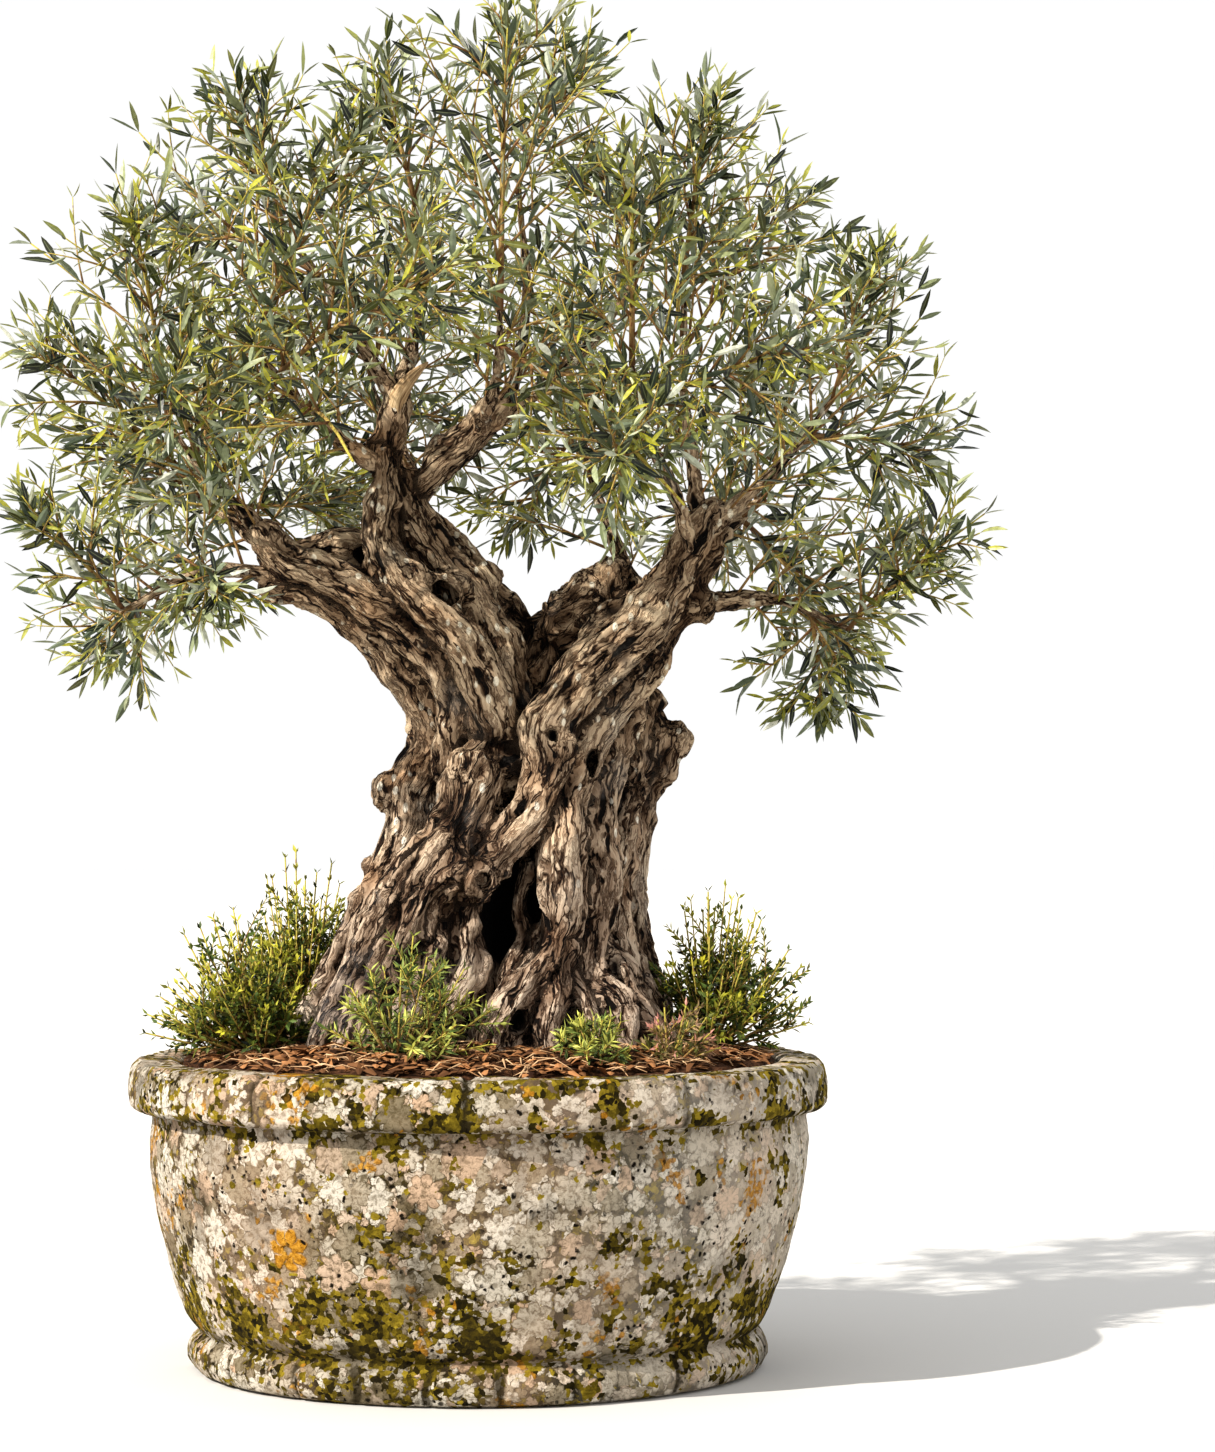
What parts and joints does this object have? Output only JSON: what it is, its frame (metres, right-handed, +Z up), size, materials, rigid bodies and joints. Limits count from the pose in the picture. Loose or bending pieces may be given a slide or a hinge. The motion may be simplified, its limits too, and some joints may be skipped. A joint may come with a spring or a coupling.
{
  "type": "potted olive bonsai",
  "caption": "Old olive tree grown small, with a twisted fluted trunk and a wide airy crown, in a round rimmed stone bowl with low herbs round its foot.",
  "frame": {"origin": "on the floor, at the centre of the bowl's underside", "axes": "+Z up, -Y towards the viewer of the front, +X to that viewer's right"},
  "size_m": [0.7119, 0.6118, 0.9978],
  "materials": {
    "stone": "matte",
    "soil": "matte",
    "bark": "matte",
    "herb": "matte",
    "olive_leaf": "satin"
  },
  "bodies": {
    "root": {"stone_bowl": "stone", "soil": "soil", "trunk_and_boughs": "bark", "herb_left_back": "herb", "herb_left_front": "herb", "herb_front": "herb", "herb_front_small": "herb", "herb_front_right": "herb", "herb_right": "herb", "herb_back": "herb", "spray_01": "olive_leaf", "spray_02": "olive_leaf", "spray_03": "olive_leaf", "spray_04": "olive_leaf", "spray_05": "olive_leaf", "spray_06": "olive_leaf", "spray_07": "olive_leaf", "spray_08": "olive_leaf", "spray_09": "olive_leaf", "spray_10": "olive_leaf", "spray_11": "olive_leaf", "spray_12": "olive_leaf", "spray_13": "olive_leaf", "spray_14": "olive_leaf", "spray_15": "olive_leaf", "spray_16": "olive_leaf", "spray_17": "olive_leaf", "spray_18": "olive_leaf", "spray_19": "olive_leaf", "spray_20": "olive_leaf", "spray_21": "olive_leaf", "spray_22": "olive_leaf", "spray_23": "olive_leaf", "spray_24": "olive_leaf", "spray_25": "olive_leaf", "spray_26": "olive_leaf", "spray_27": "olive_leaf", "spray_28": "olive_leaf", "spray_29": "olive_leaf", "spray_30": "olive_leaf", "spray_31": "olive_leaf", "spray_32": "olive_leaf", "spray_33": "olive_leaf", "spray_34": "olive_leaf", "spray_35": "olive_leaf", "spray_36": "olive_leaf"}
  },
  "joints": []
}
